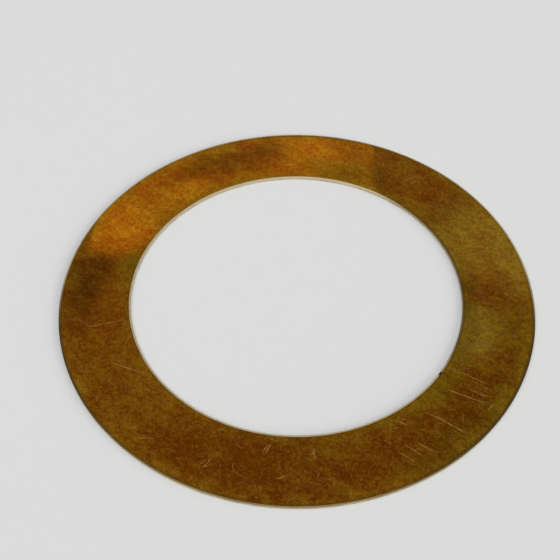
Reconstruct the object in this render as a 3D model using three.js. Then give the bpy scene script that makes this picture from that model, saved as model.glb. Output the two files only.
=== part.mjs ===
// Flat washer: a thin ring blanked out of brass sheet, used as a shim or thrust face around a shaft.
// Units are millimetres. +Z is the washer's axis, and the origin is the centre of the face it rests on.
//
// The ring is one solid. A blanking punch leaves four zones on each cut edge, from the upper face down:
// a rolled-over corner, a straight burnished land that holds the nominal diameter, a torn band that
// leans back into the metal, and a small break where tumbling has taken the burr off.

import * as THREE from "three";

// Overall sizes.
const OUTER_DIAMETER = 100;
const BORE_DIAMETER = 70;
const THICKNESS = 0.8;

// The cut edge. The bore and the rim are cut in one stroke, so both have the same zones.
const ROLL_WIDTH = 0.22; // how far the rolled corner reaches in over the upper face
const ROLL_DEPTH = 0.12; // how far it drops below the upper face
const LAND_SHARE = 0.4; // the burnished land's part of what the roll and the break leave of the edge
const TEAR_LEAN = 0.04; // how far the torn band leans back by the time it meets the break
const BREAK_SIZE = 0.05; // the broken burr corner, measured along the face and up the edge

// Smoothness.
const FACETS_AROUND = 192;
const FACETS_IN_ROLL = 4;

const BRASS = new THREE.MeshStandardMaterial({ color: 0x8a5f14, roughness: 0.38, metalness: 1 });

const OUTER_RADIUS = OUTER_DIAMETER / 2;
const BORE_RADIUS = BORE_DIAMETER / 2;

// One cut edge as [how far in from the nominal diameter, height], from the lower face to the upper one.
function cutEdge() {
  const rollBottom = THICKNESS - ROLL_DEPTH;
  const landBottom = rollBottom - LAND_SHARE * (rollBottom - BREAK_SIZE);
  const edge = [
    [TEAR_LEAN + BREAK_SIZE, 0],
    [TEAR_LEAN, BREAK_SIZE],
    [0, landBottom],
  ];
  for (let i = 0; i <= FACETS_IN_ROLL; i++) {
    const turn = (i / FACETS_IN_ROLL) * (Math.PI / 2);
    edge.push([ROLL_WIDTH * (1 - Math.cos(turn)), rollBottom + ROLL_DEPTH * Math.sin(turn)]);
  }
  return edge;
}

// The ring's section, as a closed loop of [radius, height]: up the rim, across the upper face, down the bore.
function ringSection() {
  const rim = cutEdge().map(([inset, height]) => new THREE.Vector2(OUTER_RADIUS - inset, height));
  const bore = cutEdge().map(([inset, height]) => new THREE.Vector2(BORE_RADIUS + inset, height));
  return [...rim, ...bore.reverse(), rim[0].clone()];
}

// LatheGeometry turns a section about Y, so the ring is tipped up for its axis to be Z.
function ring() {
  const geometry = new THREE.LatheGeometry(ringSection(), FACETS_AROUND);
  geometry.rotateX(Math.PI / 2);
  const mesh = new THREE.Mesh(geometry, BRASS);
  mesh.name = "washer_ring";
  return mesh;
}

const washer = new THREE.Group();
washer.name = "flat_washer";
washer.add(ring());

export default washer;
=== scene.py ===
import math

import bmesh
import bpy
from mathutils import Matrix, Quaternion, Vector, noise


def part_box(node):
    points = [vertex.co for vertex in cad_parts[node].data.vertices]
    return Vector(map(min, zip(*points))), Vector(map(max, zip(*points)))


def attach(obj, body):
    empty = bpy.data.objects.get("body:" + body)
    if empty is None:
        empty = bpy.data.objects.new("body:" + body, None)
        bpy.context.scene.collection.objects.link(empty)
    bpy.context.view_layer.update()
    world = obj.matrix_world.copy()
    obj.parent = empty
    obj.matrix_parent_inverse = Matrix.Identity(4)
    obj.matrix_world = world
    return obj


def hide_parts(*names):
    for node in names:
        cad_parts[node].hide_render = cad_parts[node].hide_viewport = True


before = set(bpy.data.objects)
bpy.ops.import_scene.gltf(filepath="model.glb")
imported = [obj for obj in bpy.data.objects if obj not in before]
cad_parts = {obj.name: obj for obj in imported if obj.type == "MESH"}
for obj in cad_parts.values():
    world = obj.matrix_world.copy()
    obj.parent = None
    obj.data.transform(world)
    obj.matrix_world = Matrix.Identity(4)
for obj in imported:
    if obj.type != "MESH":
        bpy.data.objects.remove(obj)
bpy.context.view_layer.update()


# ---- The camera ----
# It is held over the bench the way a hand holds it, a little more than two ring widths away, looking
# down a little more steeply than half a right angle, and aimed a few millimetres past the ring's middle.
RING_LOW, RING_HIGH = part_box("washer_ring")
OUTER_RADIUS = RING_HIGH.x
THICKNESS = RING_HIGH.z - RING_LOW.z
CAMERA_LENS = 64.4
SENSOR_WIDTH = 36
ring_top = Vector((0, 0, RING_HIGH.z))

look_down = math.radians(50.6)
camera_distance = 4.25 * OUTER_RADIUS
camera_tilt = math.radians(-0.65)

camera = bpy.data.objects.new("camera", bpy.data.cameras.new("camera"))
bpy.context.scene.collection.objects.link(camera)
bpy.context.scene.camera = camera
camera.location = ring_top + camera_distance * Vector((0, -math.cos(look_down), math.sin(look_down)))
aim = ring_top + OUTER_RADIUS * Vector((-0.070, 0.069, 0))
level_turn = (aim - camera.location).to_track_quat("-Z", "Y")
camera.rotation_mode = "QUATERNION"
camera.rotation_quaternion = level_turn @ Quaternion((0, 0, 1), camera_tilt)
camera.data.sensor_width = SENSOR_WIDTH
camera.data.lens = CAMERA_LENS
camera.data.clip_start = 0.001
camera.data.clip_end = 50


# ---- The bench top and the light ----
# A matt pale bench top, a broad soft window light low on the right, a dim ceiling light, a small warm card
# past the far left of the ring, which the sheet mirrors, and an even grey room.
class Link:
    """An output socket of a material's nodes. Python's operators on it add the Math nodes they need."""

    def __init__(self, tree, socket=None):
        self.tree = tree
        self.socket = socket

    def node(self, kind, settings=None, sockets=None, out=0):
        """Adds a node of this kind, makes its settings, then fills its sockets, and gives back an output."""
        made = self.tree.nodes.new("ShaderNode" + kind)
        for name, value in (settings or {}).items():
            setattr(made, name, value)
        for name, value in (sockets or {}).items():
            if isinstance(value, Link):
                self.tree.links.new(value.socket, made.inputs[name])
            else:
                made.inputs[name].default_value = value
        return Link(self.tree, made.outputs[out])

    def maths(self, operation, *values):
        return self.node("Math", {"operation": operation}, dict(enumerate(values)))

    def vector(self, operation, *values, out="Vector"):
        return self.node("VectorMath", {"operation": operation}, dict(enumerate(values)), out)

    def dot(self, way):
        """How far this place reaches along a direction."""
        return self.vector("DOT_PRODUCT", self, way, out="Value")

    def length(self):
        return self.vector("LENGTH", self, out="Value")

    def scaled(self, factor):
        """This colour or vector, times a number."""
        return self.node("VectorMath", {"operation": "SCALE"}, {0: self, "Scale": factor})

    def mix(self, factor, under, over):
        """Lays one colour over another by this factor."""
        return self.node("Mix", {"data_type": "RGBA"}, {0: factor, 6: under, 7: over}, out=2)

    def fade(self, start, end):
        """0 before start and 1 past end, eased between them. Start may be the larger."""
        return self.node("MapRange", {"interpolation_type": "SMOOTHSTEP"},
                         {"Value": self, "From Min": start, "From Max": end})

    def other(self, out):
        """Another output of the same node."""
        return Link(self.tree, self.socket.node.outputs[out])

    def __add__(self, other):
        return self.maths("ADD", self, other)

    def __sub__(self, other):
        return self.maths("SUBTRACT", self, other)

    def __rsub__(self, other):
        return self.maths("SUBTRACT", other, self)

    def __mul__(self, other):
        return self.maths("MULTIPLY", self, other)

    def __truediv__(self, other):
        return self.maths("DIVIDE", self, other)

    __radd__ = __add__
    __rmul__ = __mul__


def new_material(name):
    """A material with nothing in it but its output, as (material, a Link to start from, output node)."""
    material = bpy.data.materials.new(name)
    material.use_nodes = True
    material.node_tree.nodes.clear()
    output = material.node_tree.nodes.new("ShaderNodeOutputMaterial")
    return material, Link(material.node_tree), output


BENCH_PAINT = (0.80, 0.80, 0.79, 1)
bench_paint, start, output = new_material("bench_paint")
bench_shader = start.node("BsdfDiffuse", sockets={"Color": BENCH_PAINT, "Roughness": 0.5})
bench_paint.node_tree.links.new(bench_shader.socket, output.inputs["Surface"])

BENCH_SIZE = 12.0
bench_mesh = bpy.data.meshes.new("bench_top")
sketch = bmesh.new()
bmesh.ops.create_grid(sketch, x_segments=1, y_segments=1, size=BENCH_SIZE / 2)
sketch.to_mesh(bench_mesh)
sketch.free()
bench_mesh.materials.append(bench_paint)
bench_top = bpy.data.objects.new("bench_top", bench_mesh)
bench_top.location.z = RING_LOW.z
bpy.context.scene.collection.objects.link(bench_top)


def soft_light(name, place, faces, width, height, brightness, colour):
    """A rectangular soft light that isn't seen itself. Brightness is the radiance of its face."""
    light = bpy.data.lights.new(name, "AREA")
    light.shape = "RECTANGLE"
    light.size = width
    light.size_y = height
    light.energy = brightness * math.pi * width * height
    light.color = colour
    lamp = bpy.data.objects.new(name, light)
    lamp.location = place
    lamp.rotation_mode = "QUATERNION"
    lamp.rotation_quaternion = (Vector(faces) - Vector(place)).to_track_quat("-Z", "Y")
    lamp.visible_camera = False
    bpy.context.scene.collection.objects.link(lamp)
    return lamp


WARM = (1.0, 0.97, 0.93)
COOL = (0.94, 0.97, 1.0)
CARD_TINT = (1.0, 0.94, 0.38)
ROOM_GREY = (0.28, 0.28, 0.28, 1)
window_light = soft_light("window_light", (1.15, -0.60, 0.40), (0, 0, 0.02), 2.0, 0.75, 3.4, WARM)
soft_light("ceiling_light", (-0.3, -0.7, 1.6), (-0.3, -0.7, 0), 2.6, 2.0, 1.34, COOL)
soft_light("far_card", (-0.056, 0.40, 0.370), (-0.056, 0, 0.370), 0.221, 0.140, 0.30, CARD_TINT)

# The sheet doesn't mirror the window, which would hide its tarnish from the other side of the bench.
window_light.visible_glossy = False

world = bpy.data.worlds.new("room")
bpy.context.scene.world = world
world.use_nodes = True
world.node_tree.nodes["Background"].inputs["Color"].default_value = ROOM_GREY

bpy.context.scene.view_settings.view_transform = "Standard"


# ---- The ring ----
# One blank of 0.8 mm brass sheet. Punch and die leave a rolled corner on the upper face, a burnished
# land, a torn band and a broken corner at the lower face, at the rim and in the bore alike.
BORE_RADIUS = min(math.hypot(*corner.co.xy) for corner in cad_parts["washer_ring"].data.vertices)
MM = 0.001
STEPS_AROUND = 1080
STEPS_ACROSS = 14
ROLL_STEPS = 5
LAND_STEPS = 2
TEAR_STEPS = 4
ROLL_WIDTH = 0.24 * MM
ROLL_DEPTH = 0.13 * MM
LAND_FOOT = 0.42 * MM
LEAST_LAND = 0.05 * MM
TEAR_LEAN = 0.045 * MM
TEAR_STEP_IN = 0.014 * MM
BREAK_HEIGHT = 0.05 * MM
BREAK_WIDTH = 0.055 * MM
DROOP_WIDTH = 2.4 * MM
DROOP_SLOPE = math.radians(1.4)
DISH_DEPTH = 0.016 * MM
DISH_PITCH = 17 * MM
NICK_TURN = math.radians(324.5)
NICK_REACH = 0.55 * MM
NICK_WIDTH = 0.25 * MM
NICK_DEPTH = 0.22 * MM


def drift(turn, pitch, seed, radius=OUTER_RADIUS):
    """A smooth wander from -1 to 1 round the ring, with about this distance from swing to swing."""
    place = Vector((math.cos(turn), math.sin(turn), 0)) * (radius / pitch)
    place.z = seed
    return noise.noise(place) * 1.6


def droop(inwards):
    """How far the punch has drawn the upper face down at this distance in from a cut edge."""
    return DROOP_SLOPE * max(0, DROOP_WIDTH - inwards) ** 2 / (2 * DROOP_WIDTH)


def cut_edge(turn, seed, radius, nick=0.0):
    """A cut edge's section at this turn, as (how far in, height) pairs from the lower face up. A nick from
    0 to 1 is a dent in its upper corner."""
    def wander(pitch, which):
        """A wander from -1 to 1 mm round the ring, for one of its sizes to take a small share of."""
        return drift(turn, pitch, seed + which, radius) * MM

    roll_width = ROLL_WIDTH + 0.05 * wander(9 * MM, 0) + NICK_WIDTH * nick
    roll_depth = ROLL_DEPTH + 0.03 * wander(7 * MM, 5) + NICK_DEPTH * nick
    broken = BREAK_HEIGHT + 0.02 * wander(2 * MM, 10)
    roll_top = THICKNESS - droop(roll_width)
    roll_foot = roll_top - roll_depth
    land_foot = min(LAND_FOOT + 0.07 * wander(3 * MM, 15), roll_foot - LEAST_LAND)
    section = [(BREAK_WIDTH + broken, 0)]
    for step in range(TEAR_STEPS):
        share = step / TEAR_STEPS
        torn = TEAR_LEAN * (1 - share) + TEAR_STEP_IN + 0.014 * wander(0.5 * MM, 20 + step)
        section.append((torn, broken + share * (land_foot - broken)))
    for step in range(LAND_STEPS + 1):
        section.append((0, land_foot + step / LAND_STEPS * (roll_foot - land_foot)))
    for step in range(1, ROLL_STEPS + 1):
        sweep = step / ROLL_STEPS * math.pi / 2
        section.append((roll_width * (1 - math.cos(sweep)), roll_foot + roll_depth * math.sin(sweep)))
    return section


def dish(x, y, seed):
    """How far rolling and handling have pressed a face in from flat at this place."""
    pressed = noise.noise(Vector((x, y, 0)) / DISH_PITCH + Vector((0, 0, seed)))
    return DISH_DEPTH * (0.5 + 0.5 * max(-1, min(1, pressed * 1.6)))


def ring_section(turn):
    """The whole section at this turn as a closed loop of (radius, height): rim, upper face, bore, lower."""
    nick = math.exp(-(((turn - NICK_TURN) * BORE_RADIUS / NICK_REACH) ** 2))
    rim = [(OUTER_RADIUS - inset, height) for inset, height in cut_edge(turn, 100, OUTER_RADIUS)]
    bore = [(BORE_RADIUS + inset, height) for inset, height in cut_edge(turn, 200, BORE_RADIUS, nick)]
    bore.reverse()

    def across(start, end, seed, upper):
        """A face's points between its two ends, closer together near them."""
        places = []
        for step in range(1, STEPS_ACROSS):
            share = (1 - math.cos(math.pi * step / STEPS_ACROSS)) / 2
            radius = start[0] + share * (end[0] - start[0])
            ease = min(1, 6 * share, 6 * (1 - share))
            pressed = ease * dish(radius * math.cos(turn), radius * math.sin(turn), seed)
            drawn = droop(min(OUTER_RADIUS - radius, radius - BORE_RADIUS))
            places.append((radius, THICKNESS - drawn - pressed if upper else pressed))
        return places

    return rim + across(rim[-1], bore[0], 3, True) + bore + across(bore[-1], rim[0], 8, False)


# Its pattern is laid out flat in strips on a square page: eight for each face, five for the rim's wall and
# four for the bore's, so that no part of it is drawn smaller than another.
WALL_STEPS = 1 + TEAR_STEPS + LAND_STEPS
BORE_TOP = WALL_STEPS + 2 * ROLL_STEPS + STEPS_ACROSS
FACE_STRIPS = 8
RIM_STRIPS = 5
BORE_STRIPS = 4
STRIPS_IN_ROW = 3
STRIP_GAP = 0.4 * MM
MIDDLE_RADIUS = (OUTER_RADIUS + BORE_RADIUS) / 2
CELL_WIDTH = 2 * math.pi * MIDDLE_RADIUS / FACE_STRIPS + STRIP_GAP
CELL_HEIGHT = OUTER_RADIUS - BORE_RADIUS + 2.5 * STRIP_GAP
EDGE_FOOT = 2 * FACE_STRIPS // STRIPS_IN_ROW * CELL_HEIGHT
EDGE_ROW = CELL_HEIGHT / (RIM_STRIPS + BORE_STRIPS)
PAGE = STRIPS_IN_ROW * CELL_WIDTH


def is_wall(i):
    """Whether this place in the section is on a cut edge and not on a face or its rolled corner."""
    return i < WALL_STEPS or BORE_TOP <= i < BORE_TOP + WALL_STEPS


def strip_of(i, step):
    """The strip that holds this face of the mesh, as (its left, foot, length, steps and first i)."""
    if is_wall(i):
        first, strips, radius, row = 0, RIM_STRIPS, OUTER_RADIUS, 0
        if i >= BORE_TOP:
            first, strips, radius, row = BORE_TOP, BORE_STRIPS, BORE_RADIUS, RIM_STRIPS
        steps = STEPS_AROUND // strips
        foot = EDGE_FOOT + (row + step // steps) * EDGE_ROW
        return CELL_WIDTH, foot, 2 * math.pi * radius / strips, steps, first
    lower = i >= BORE_TOP
    steps = STEPS_AROUND // FACE_STRIPS
    cell = step // steps + FACE_STRIPS * lower
    first = BORE_TOP + WALL_STEPS if lower else WALL_STEPS
    left = cell % STRIPS_IN_ROW * CELL_WIDTH
    return left, cell // STRIPS_IN_ROW * CELL_HEIGHT, CELL_WIDTH - STRIP_GAP, steps, first


sketch = bmesh.new()
page = sketch.loops.layers.uv.new("OFBake")
loops = []
for step in range(STEPS_AROUND):
    turn = step / STEPS_AROUND * 2 * math.pi
    section = ring_section(turn)
    loop = []
    for radius, height in section:
        point = (radius * math.cos(turn), radius * math.sin(turn), RING_LOW.z + height)
        loop.append(sketch.verts.new(point))
    loops.append(loop)
section_length = len(section)
run = [0.0]
for i in range(section_length):
    run.append(run[i] + math.dist(section[i], section[(i + 1) % section_length]))
for step in range(STEPS_AROUND):
    here, there = loops[step], loops[(step + 1) % STEPS_AROUND]
    for i in range(section_length):
        j = (i + 1) % section_length
        face = sketch.faces.new((here[i], there[i], there[j], here[j]))
        face.smooth = True
        face.material_index = int(is_wall(i))
        left, foot, length, steps, first = strip_of(i, step)
        near = left + step % steps / steps * length
        far = near + length / steps
        low = foot + run[i] - run[first]
        high = foot + run[i + 1] - run[first]
        spots = ((near, low), (far, low), (far, high), (near, high))
        for corner, spot in zip(face.loops, spots):
            corner[page].uv = (spot[0] / PAGE, spot[1] / PAGE)
ring_mesh = bpy.data.meshes.new("brass_ring")
sketch.to_mesh(ring_mesh)
sketch.free()
brass_ring = bpy.data.objects.new("brass_ring", ring_mesh)
bpy.context.scene.collection.objects.link(brass_ring)


# The two faces have kept the mill's skin, and years of air and fingers have turned it: golden brown all
# over, redder at the front, olive on the right and by the cut edges, with stains, dull smears, and fine
# scratches that show cleaner metal.
REDDEST = (0.335, 0.080, 0.0028, 1)
OLIVEST = (0.490, 0.275, 0.0115, 1)
DULL_BRASS = (0.780, 0.500, 0.1900, 1)
RUBBED_BRASS = (0.900, 0.520, 0.0800, 1)
BARED_BRASS = (0.970, 0.560, 0.1500, 1)
BRUSH_ANGLE = -31
PATCH_STRAY = 6.5
LINE_STRAY = 0.8
UPPER = THICKNESS / MM
BAND_MIDDLE = MIDDLE_RADIUS / MM

# Places on it are in millimetres. Heights count thirty times over, so that the lower face has a pattern of
# its own.
brass, start, output = new_material("tarnished_brass")
position = start.node("TexCoord", out="Object")
place = start.vector("MULTIPLY", position, (1 / MM, 1 / MM, 30 / MM))
flat_place = start.vector("MULTIPLY", place, (1, 1, 0))
radius = flat_place.length()
height = start.node("SeparateXYZ", sockets={0: position}, out="Z") / MM
upper_face = height.fade(UPPER - 0.5, UPPER - 0.3)


def cloud(size, detail=2, roughness=0.5, where=place, out=0):
    """Soft noise from 0 to 1, with blotches of about this many millimetres."""
    return start.node("TexNoise", sockets={
        "Vector": where, "Scale": 1 / size, "Detail": detail, "Roughness": roughness,
    }, out=out)


def turned(angle, along, across, where=place):
    """The place measured along and across this direction, in these lengths."""
    return start.node("Mapping", {"vector_type": "TEXTURE"}, {
        "Vector": where, "Rotation": (0, 0, math.radians(angle)), "Scale": (along, across, 1),
    })


# The patches' outlines wander by a few millimetres, more along the brushed way than across it.
brushed = turned(BRUSH_ANGLE, 1.7, 1)
wander = start.vector("SUBTRACT", cloud(4.5, 5, 0.62, where=brushed, out="Color"), (0.5, 0.5, 0.5))
strayed = start.vector("MULTIPLY_ADD", wander, (PATCH_STRAY, PATCH_STRAY, 0), flat_place)
strayed_radius = strayed.length()


def smear(angle, middle, long, wide, soft=0.6):
    """A patch on the upper face, in the middle of the band at this angle in degrees from +X and at this
    radius, reaching this far along and across the band, in millimetres."""
    turn = math.radians(angle)
    outward = strayed.dot((math.cos(turn), math.sin(turn), 0))
    sideways = strayed.dot((-math.sin(turn), math.cos(turn), 0))
    along = start.maths("ARCTAN2", sideways, outward) * (middle / long)
    across = (strayed_radius - middle) / wide
    reach = start.node("CombineXYZ", sockets={0: along, 1: across}).length()
    return reach.fade(1 + soft, 1 - soft) * upper_face


# Each patch is where it is and how far it reaches, how much more olive and how much lighter it is than the
# rest, where less than 0 is redder or darker, and how dull it is.
PATCHES = (
    (266, 42.5, 26.0, 8.0, -0.20, -0.26, 0),
    (275, 36.6, 16.0, 1.4, 0.04, -0.14, 0),
    (295, 38.2, 6.0, 2.2, 0.18, -0.04, 0),
    (288, 47.6, 9.0, 2.0, 0.24, 0.00, 0),
    (308, 36.7, 21.0, 1.6, 0.22, 0.04, 0),
    (311, 42.5, 13.0, 8.0, 0.00, -0.12, 0),
    (311, 41.5, 5.0, 3.0, -0.20, 0.00, 0),
    (311, 47.2, 12.0, 2.8, 0.04, -0.26, 0),
    (320.5, 43.0, 5.2, 3.2, -0.52, -0.02, 0),
    (326, 48.3, 5.0, 1.5, 0.34, -0.08, 0),
    (338, 42.5, 24.0, 14.0, 0.34, -0.30, 0),
    (333, 43.2, 4.8, 3.6, -0.42, -0.04, 0),
    (346, 38.8, 8.0, 4.0, 0.45, 0.10, 0.8),
    (342, 46.4, 8.0, 3.2, -0.16, -0.12, 0),
    (356, 36.6, 26.0, 1.7, 0.00, -0.34, 0),
    (356, 40.8, 6.0, 4.0, -0.18, -0.04, 0),
    (20, 43.0, 11.0, 12.0, 0.72, 0.18, 0.7),
    (9, 41.8, 7.0, 4.5, -0.34, 0.04, 0),
    (8, 47.5, 8.0, 2.4, 0.20, 0.12, 0.5),
    (36, 43.0, 4.5, 9.0, 0.00, -0.24, 0),
    (50, 45.5, 8.0, 5.0, 0.04, 0.00, 0),
    (66, 38.5, 6.0, 5.0, 0.24, -0.46, 0),
    (77, 38.0, 6.0, 2.8, 0.20, -0.42, 0),
    (74, 47.0, 6.0, 3.2, 0.12, -0.26, 0),
    (85, 44.8, 6.5, 3.4, 0.00, 0.34, 0),
    (96, 39.8, 4.5, 3.0, 0.05, 0.18, 0),
    (111, 43.4, 13.0, 5.2, -0.06, -0.60, 0),
    (109, 48.8, 7.0, 1.4, 0.18, 0.10, 0),
    (97, 46.4, 4.0, 2.6, 0.00, -0.18, 0),
    (120, 45.8, 7.0, 2.2, 0.00, -0.18, 0),
    (129, 39.6, 6.0, 2.6, 0.00, 0.26, 0),
    (140, 37.0, 9.0, 2.0, 0.00, -0.20, 0),
    (142, 40.8, 7.0, 3.6, 0.00, -0.09, 0),
    (154, 42.5, 7.0, 6.0, 0.00, 0.38, 0),
    (164, 47.4, 4.0, 2.4, 0.00, 0.18, 0),
    (167, 37.2, 3.0, 2.0, 0.50, -0.30, 0),
    (175, 44.6, 7.5, 4.6, 0.00, -0.60, 0),
    (184, 38.5, 7.0, 4.0, -0.15, 0.12, 0),
    (188, 45.3, 6.0, 3.0, 0.00, -0.32, 0),
    (196, 44.5, 4.5, 4.0, 0.00, 0.14, 0),
    (214, 46.3, 5.0, 2.4, -0.25, 0.00, 0),
    (227, 38.4, 6.0, 3.0, 0.22, 0.02, 0),
)
# The far left has been handled least, so its patches are more even, and its specks and rubs are fainter.
far_side = smear(125, 42.5, 46, 14.0)
gaps = 1 - cloud(2.4, 4, 0.62, where=brushed).fade(0.30, 0.62)
ragged = 1 - gaps * (0.6 - 0.35 * far_side)
olive = 0.21 + 0.9 * (cloud(7, 2, where=brushed) - 0.5)
light = 1.32 - 0.04 * far_side
dull = 0
for angle, middle, long, wide, more_olive, lighter, dullness in PATCHES:
    patch = smear(angle, middle, long, wide) * ragged
    olive = olive + patch * more_olive
    light = light + patch * lighter
    if dullness:
        dull = patch * dullness + dull

# By the cut edges it is more olive, and on the far left darker too.
by_rim = (OUTER_RADIUS / MM - strayed_radius).fade(2.9, 0.5)
by_bore = (strayed_radius - BORE_RADIUS / MM).fade(3.4, 0.3)
by_an_edge = start.maths("MAXIMUM", by_rim, by_bore) * (0.35 + 0.65 * cloud(5, 3, 0.6).fade(0.35, 0.6))
olive = olive + by_an_edge * (0.26 + 0.06 * far_side)
light = light - by_an_edge * (0.44 * far_side - 0.04)

# On top of the patches it is mottled, redder where it is darker, down to specks no wider than a hair.
mottle = (cloud(2.6, 4, 0.66, where=brushed) - 0.5) * (1 - 0.15 * far_side)
blotch = cloud(0.95, 2, 0.6) - 0.5
speck = (cloud(0.42, 2, 0.7) - 0.5) * (1.1 - 0.45 * far_side)
olive = olive + 1.1 * mottle + 0.7 * blotch + 0.7 * speck
light = light * (1 + 0.45 * mottle + 0.55 * blotch + 1.15 * speck)
colour = start.mix(olive, REDDEST, OLIVEST).scaled(light)
colour = start.mix(dull * 0.09, colour, DULL_BRASS)

# Rubbing and sliding have drawn fine lines all over it, most of them along the brushed way.
bend = start.vector("MULTIPLY_ADD", wander, (LINE_STRAY, LINE_STRAY, 0), place)


def rubbed_lines(angle, length, width, least):
    """Fine lines this way over the face, of about this length and width in millimetres."""
    lines = cloud(1, 1, 0.5, where=turned(angle, length, width, where=bend))
    return lines.fade(least, least + 0.14)


rubbed = rubbed_lines(BRUSH_ANGLE, 2.2, 0.16, 0.60)
for angle, length, width, least in ((-40, 1.6, 0.15, 0.64), (48, 1.4, 0.15, 0.64), (104, 1.5, 0.15, 0.65)):
    rubbed = start.maths("MAXIMUM", rubbed, rubbed_lines(angle, length, width, least))
rubbed = rubbed * (1 - 0.5 * far_side)


def ticks(spacing, length, width, share, seed):
    """Short straight marks thrown over the face any way round, one to each cell of this spacing, in
    millimetres. Share is how many of the cells have one."""
    shifted = start.vector("ADD", place, (seed, -seed, 0))
    cell = start.node("TexVoronoi", {"voronoi_dimensions": "2D"}, {"Vector": shifted, "Scale": 1 / spacing})
    offset = start.vector("SUBTRACT", shifted, cell.other("Position"))
    chance = start.node("SeparateColor", sockets={0: cell.other("Color")})
    way = chance * math.pi
    heading = start.node("CombineXYZ", sockets={0: start.maths("COSINE", way), 1: start.maths("SINE", way)})
    along = offset.dot(heading)
    away = start.vector("MULTIPLY", offset, (1, 1, 0)).length()
    aside = start.maths("SQRT", start.maths("MAXIMUM", away * away - along * along, 0))
    reach = start.maths("ABSOLUTE", along) / (chance.other("Green") * length + 0.3 * length)
    has_one = chance.other("Blue").fade(1 - share, 1.05 - share)
    return aside.fade(width, 0) * reach.fade(1, 0.6) * has_one


fine_ticks = ticks(1.1, 0.6, 0.11, 0.55, seed=0)
sparse_ticks = ticks(5.5, 1.0, 0.14, 0.45, seed=31)
scuffed = start.maths("MAXIMUM", fine_ticks * 0.62, sparse_ticks * 0.9) * (1 - 0.6 * far_side)

scratch_bend = cloud(6) * 0.5 - 0.25
scratch_wear = cloud(0.7, 2, 0.6).fade(0.34, 0.56)


def scratch(begin, end, width):
    """One long scratch on the upper face between two places, in millimetres from the ring's middle."""
    run = Vector(end) - Vector(begin)
    way = run.normalized()
    share = (place.dot((way.x, way.y, 0)) - way.dot(Vector(begin))) / run.length
    aside = place.dot((way.y, -way.x, 0)) + scratch_bend - (way.y * begin[0] - way.x * begin[1])
    return start.maths("ABSOLUTE", aside).fade(width, 0) * share.fade(0, 0.2) * share.fade(1, 0.7)


LONG_SCRATCHES = (
    ((25.5, -29.7), (33.6, -34.7), 0.21),
    ((29.2, -24.0), (38.0, -27.8), 0.17),
    ((31.4, -19.4), (38.4, -23.3), 0.15),
    ((33.6, -23.9), (38.0, -26.2), 0.18),
    ((36.5, -23.4), (38.6, -24.6), 0.17),
    ((19.0, -31.5), (21.8, -32.6), 0.17),
    ((20.4, -36.6), (24.4, -39.6), 0.14),
    ((22.6, -36.0), (27.0, -38.9), 0.14),
    ((19.4, -38.4), (23.0, -41.0), 0.13),
    ((-37.6, -18.4), (-28.8, -21.6), 0.17),
    ((-43.8, -9.8), (-35.0, -7.5), 0.14),
    ((-46.0, -7.0), (-41.5, -10.4), 0.12),
    ((-31.5, -35.8), (-26.0, -36.0), 0.13),
    ((-5.5, -39.2), (-4.5, -36.8), 0.24),
    ((-5.9, -38.6), (-5.2, -37.2), 0.16),
    ((-17.1, -42.3), (-15.5, -40.0), 0.24),
    ((-17.4, -41.3), (-16.5, -40.2), 0.15),
    ((-3.4, -44.3), (-1.1, -43.4), 0.22),
    ((3.5, -37.4), (3.7, -40.5), 0.17),
    ((37.2, -29.0), (38.6, -27.3), 0.19),
    ((24.8, 33.9), (27.4, 35.4), 0.17),
    ((26.3, 32.9), (28.2, 34.4), 0.15),
)
scraped = scratch(*LONG_SCRATCHES[0])
for begin, end, width in LONG_SCRATCHES[1:]:
    scraped = start.maths("MAXIMUM", scraped, scratch(begin, end, width))
scraped = scraped * upper_face * (0.35 + 0.65 * scratch_wear)
colour = start.mix(rubbed * 0.20, colour, RUBBED_BRASS)
colour = start.mix(start.maths("MAXIMUM", scraped * 0.66, scuffed * 0.55), colour, BARED_BRASS)

# A dark line is painted just inside each cut edge: painted shade standing in for the rolled corner's dark
# reflection.
# The corners themselves are worn pale and widened into a painted highlight, but for the front of the rim and
# the far right of the bore, which are painted in shade.
PAINTED_EDGE_SHADE = (0.130, 0.080, 0.0100, 1)
CORNER_BRASS = (0.920, 0.780, 0.5200, 1)


def shaded_stretches(where, radius):
    """The right side of the ring, the front of its rim, and the far right of its bore: where edges get
    painted shade.
    """
    x = start.node("SeparateXYZ", sockets={0: where})
    y = x.other("Y")
    right_side = x.fade(15, 27)
    front_rim = radius.fade(BAND_MIDDLE + 1.5, BAND_MIDDLE + 3.5) * y.fade(8, -12)
    right_bore = radius.fade(BAND_MIDDLE - 4.5, BAND_MIDDLE - 6.5) * right_side * y.fade(-22, -12)
    return right_side, front_rim, right_bore


right_side, front_rim, right_bore = shaded_stretches(place, radius)
from_edge = start.maths("MINIMUM", OUTER_RADIUS / MM - radius, radius - BORE_RADIUS / MM)
# Painted shade: a dark line just inside each cut edge, deeper on the right side.
colour = start.mix(from_edge.fade(0.80, 0.30) * (0.50 + 0.25 * right_side), colour, PAINTED_EDGE_SHADE)
# More painted shade on the front of the rim, right at its corner.
colour = start.mix(front_rim * from_edge.fade(0.34, 0.22) * 0.85, colour, PAINTED_EDGE_SHADE)
# A pale band on each corner: partly wear, partly a painted highlight, left off where the edges are painted
# in shade.
corner_wear_and_highlight = from_edge.fade(0.46, 0.30) * (0.60 + 0.40 * cloud(1.6, 2))
corner_wear_and_highlight = corner_wear_and_highlight * (1 - 0.9 * front_rim) * (1 - 0.8 * right_bore)
colour = start.mix(corner_wear_and_highlight, colour, CORNER_BRASS)

# The nick is painted near black: a painted shadow in its dent.
NICK_SHADOW_PAINT = (0.020, 0.014, 0.008, 1)
nick_place = (BORE_RADIUS / MM * math.cos(NICK_TURN), BORE_RADIUS / MM * math.sin(NICK_TURN), 0)
nick_shadow = start.vector("DISTANCE", flat_place, nick_place, out="Value").fade(0.66, 0.38)
colour = start.mix(nick_shadow * 0.95, colour, NICK_SHADOW_PAINT)

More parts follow.
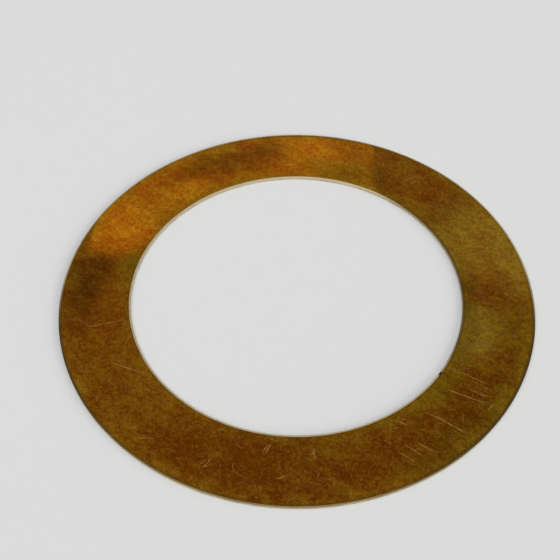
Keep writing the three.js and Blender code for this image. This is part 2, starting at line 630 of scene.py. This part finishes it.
grain = cloud(0.22, 2, 0.6, where=turned(BRUSH_ANGLE, 6, 1))
roughness = 0.035 + 0.03 * cloud(3, 3) + 0.025 * grain + 0.16 * dull + 0.32 * scraped + 0.18 * scuffed
surface_height = 0.5 * grain + 0.4 * speck - 0.3 * rubbed - 0.8 * scraped - 0.5 * scuffed
bump = start.node("Bump", sockets={"Height": surface_height, "Strength": 1.0, "Distance": 0.001 * MM})
shader = start.node("BsdfPrincipled", sockets={
    "Base Color": colour,
    "Metallic": 1.0,
    "Roughness": roughness + 0.65 * corner_wear_and_highlight + 0.3 * nick_shadow,
    "Normal": bump,
})
brass.node_tree.links.new(shader.socket, output.inputs["Surface"])
ring_mesh.materials.append(brass)


# The cut edges never had that skin. The land shines where the punch rubbed it, the band below it is torn and
# dull, and both carry random tarnish, with painted shade laid over them at the front of the rim and at the
# far right of the bore.
LAND_BRASS = (0.94, 0.78, 0.49, 1)
TORN_BRASS = (0.84, 0.71, 0.50, 1)
EDGE_TARNISH_AND_SHADE = (0.50, 0.39, 0.24, 1)
LAND_HEIGHT = LAND_FOOT / MM

# Here heights count for an eighth, which draws the marks out along the punch's stroke.
sheared_brass, start, output = new_material("sheared_brass")
position = start.node("TexCoord", out="Object")
height = start.node("SeparateXYZ", sockets={0: position}, out="Z") / MM
around = start.vector("MULTIPLY", position, (1 / MM, 1 / MM, 0.12 / MM))
radius = start.vector("MULTIPLY", around, (1, 1, 0)).length()
right_side, front_rim, right_bore = shaded_stretches(around, radius)

drag_marks = cloud(0.12, 2, 0.6, where=around)
torn = height.fade(LAND_HEIGHT + 0.04, LAND_HEIGHT - 0.02)
tarnished = cloud(4, 3, 0.6, where=around).fade(0.42, 0.62)
colour = start.mix(torn, LAND_BRASS, TORN_BRASS)
# Random tarnish, plus painted shade at the front of the rim and at the far right of the bore.
colour = start.mix(tarnished * 0.30 + front_rim * 0.38 + right_bore * 0.6, colour, EDGE_TARNISH_AND_SHADE)
colour = colour.scaled(0.80 + 0.4 * drag_marks)
bump = start.node("Bump", sockets={"Height": drag_marks, "Strength": 1.0, "Distance": 0.003 * MM})
shader = start.node("BsdfPrincipled", sockets={
    "Base Color": colour,
    "Metallic": 1.0,
    "Roughness": 0.15 + 0.30 * torn + 0.10 * tarnished,
    "Normal": bump,
})
sheared_brass.node_tree.links.new(shader.socket, output.inputs["Surface"])
ring_mesh.materials.append(sheared_brass)

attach(brass_ring, "root")
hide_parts("washer_ring")
